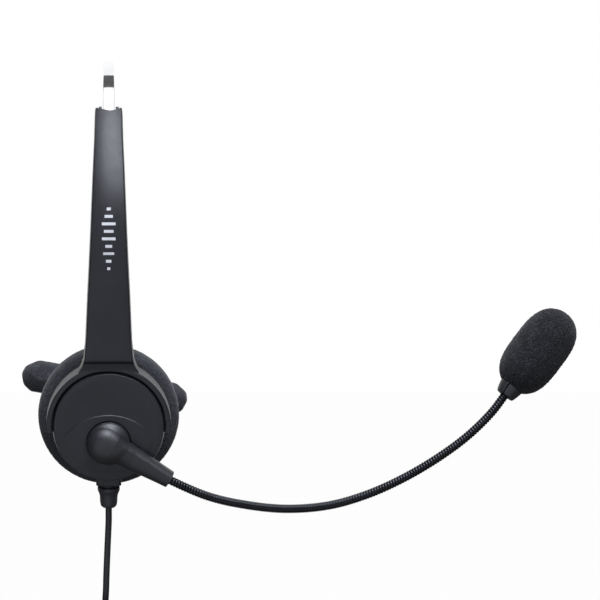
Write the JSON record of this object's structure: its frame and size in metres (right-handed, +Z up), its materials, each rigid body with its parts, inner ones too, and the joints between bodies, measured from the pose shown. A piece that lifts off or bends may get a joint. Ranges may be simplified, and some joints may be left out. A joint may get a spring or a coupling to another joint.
{
  "type": "headset",
  "caption": "Single-ear office headset: steel strip headband, sliding arm with yoke, round ear cup, gooseneck microphone boom, temple bar and coiled cord.",
  "frame": {"origin": "underside of the steel headband at the crown of the head", "axes": "+X forward to the microphone, -Y towards the ear cup, +Y towards the temple bar, +Z up"},
  "size_m": [0.2493, 0.1622, 0.3196],
  "materials": {
    "chrome_strip": "polished spring steel",
    "black_shell": "satin black moulded plastic",
    "inner_plastic": "matte black",
    "foam": "open-cell black foam",
    "neck_metal": "black ribbed metal hose",
    "cord_jacket": "smooth matte jacket",
    "soft_rubber": "satin black",
    "clear_plastic": "clear moulded plastic",
    "gold_contact": "gold-plated",
    "board": "green circuit board",
    "felt": "grey felt",
    "film": "thin translucent film",
    "copper": "enamelled copper wire",
    "steel": "zinc-plated steel"
  },
  "bodies": {
    "headband": {"steel_band": "chrome_strip", "band_stop_rivet": "steel", "t_bar_socket": "black_shell", "t_bar_socket_screw": "steel"},
    "t_bar": {"t_bar_back_plate": "black_shell", "t_bar_foam_pad": "foam", "t_bar_pivot_pin": "steel"},
    "arm": {"arm_outer_shell": "black_shell", "arm_inner_cover": "inner_plastic", "arm_screw_upper": "steel", "arm_screw_lower": "steel", "detent_spring": "steel", "yoke_pivot_pin_left": "steel", "yoke_pivot_pin_right": "steel"},
    "ear_cup": {"ear_cup_cap": "black_shell", "ear_cup_housing": "black_shell", "strain_relief": "soft_rubber", "speaker_grille": "inner_plastic", "damping_felt": "felt", "speaker_frame": "steel", "speaker_diaphragm": "film", "voice_coil": "copper", "speaker_magnet_cup": "steel", "speaker_magnet": "steel", "speaker_pole_plate": "steel", "housing_screw_1": "steel", "housing_screw_2": "steel", "housing_screw_3": "steel", "junction_board": "board", "cushion_ring": "inner_plastic", "ear_cushion": "foam", "boom_bearing": "inner_plastic", "boom_wave_washer": "steel", "cord_lead": "cord_jacket", "cord_coil": "cord_jacket", "cord_tie": "cord_jacket", "cord_tail": "cord_jacket", "plug_body": "clear_plastic", "plug_latch": "clear_plastic", "plug_contact_1": "gold_contact", "plug_contact_2": "gold_contact", "plug_contact_3": "gold_contact", "plug_contact_4": "gold_contact"},
    "boom": {"boom_outer_shell": "black_shell", "boom_inner_shell": "black_shell", "boom_retainer": "steel", "boom_screw": "steel", "gooseneck_1": "neck_metal"},
    "neck_2": {"gooseneck_2": "neck_metal"},
    "neck_3": {"gooseneck_3": "neck_metal"},
    "neck_4": {"gooseneck_4": "neck_metal"},
    "neck_5": {"gooseneck_5": "neck_metal"},
    "neck_6": {"gooseneck_6": "neck_metal"},
    "neck_7": {"gooseneck_7": "neck_metal"},
    "microphone": {"gooseneck_8": "neck_metal", "mic_holder_front": "black_shell", "mic_holder_rear": "black_shell", "mic_seat": "soft_rubber", "mic_capsule": "steel", "mic_windscreen": "foam"}
  },
  "joints": [
    {"name": "band_slide", "type": "hinge", "parent": "headband", "child": "arm", "pos_m": [0, 0, -0.078], "axis": [1, 0, 0], "range_deg": [-15, 15]},
    {"name": "t_bar_swivel", "type": "hinge", "parent": "headband", "child": "t_bar", "pos_m": [0, 0.07331, -0.15031], "axis": [0, -0.9744, 0.225], "range_deg": [-12, 28]},
    {"name": "ear_cup_tilt", "type": "hinge", "parent": "arm", "child": "ear_cup", "pos_m": [0, -0.05731, -0.1639], "axis": [1, 0, 0], "range_deg": [-12, 12]},
    {"name": "boom_rotate", "type": "hinge", "parent": "ear_cup", "child": "boom", "pos_m": [0, -0.05576, -0.17062], "axis": [0, -0.9744, -0.225], "range_deg": [-50, 85]},
    {"name": "neck_bend_1", "type": "hinge", "parent": "boom", "child": "neck_2", "pos_m": [0.03781, -0.06215, -0.19367], "axis": [-0.114, 0.9935, 0], "range_deg": [-10, 10]},
    {"name": "neck_sweep_1", "type": "hinge", "parent": "neck_2", "child": "neck_3", "pos_m": [0.06107, -0.05937, -0.2], "axis": [-0.162, -0.0186, -0.9866], "range_deg": [-10, 10]},
    {"name": "neck_bend_2", "type": "hinge", "parent": "neck_3", "child": "neck_4", "pos_m": [0.08514, -0.05663, -0.20172], "axis": [-0.114, 0.9935, 0], "range_deg": [-10, 10]},
    {"name": "neck_sweep_2", "type": "hinge", "parent": "neck_4", "child": "neck_5", "pos_m": [0.1089, -0.05391, -0.19768], "axis": [0.2944, 0.0338, -0.9551], "range_deg": [-10, 10]},
    {"name": "neck_bend_3", "type": "hinge", "parent": "neck_5", "child": "neck_6", "pos_m": [0.13124, -0.05131, -0.18847], "axis": [-0.114, 0.9935, 0], "range_deg": [-10, 10]},
    {"name": "neck_sweep_3", "type": "hinge", "parent": "neck_6", "child": "neck_7", "pos_m": [0.15197, -0.04901, -0.17598], "axis": [0.568, 0.0652, -0.8204], "range_deg": [-10, 10]},
    {"name": "neck_bend_4", "type": "hinge", "parent": "neck_7", "child": "microphone", "pos_m": [0.17024, -0.04689, -0.16013], "axis": [-0.114, 0.9935, 0], "range_deg": [-10, 10]}
  ],
  "couplings": [
    {"joint": "neck_bend_2", "follows": "neck_bend_1", "ratio": 1},
    {"joint": "neck_bend_3", "follows": "neck_bend_1", "ratio": 1},
    {"joint": "neck_bend_4", "follows": "neck_bend_1", "ratio": 1},
    {"joint": "neck_sweep_2", "follows": "neck_sweep_1", "ratio": 1},
    {"joint": "neck_sweep_3", "follows": "neck_sweep_1", "ratio": 1}
  ]
}
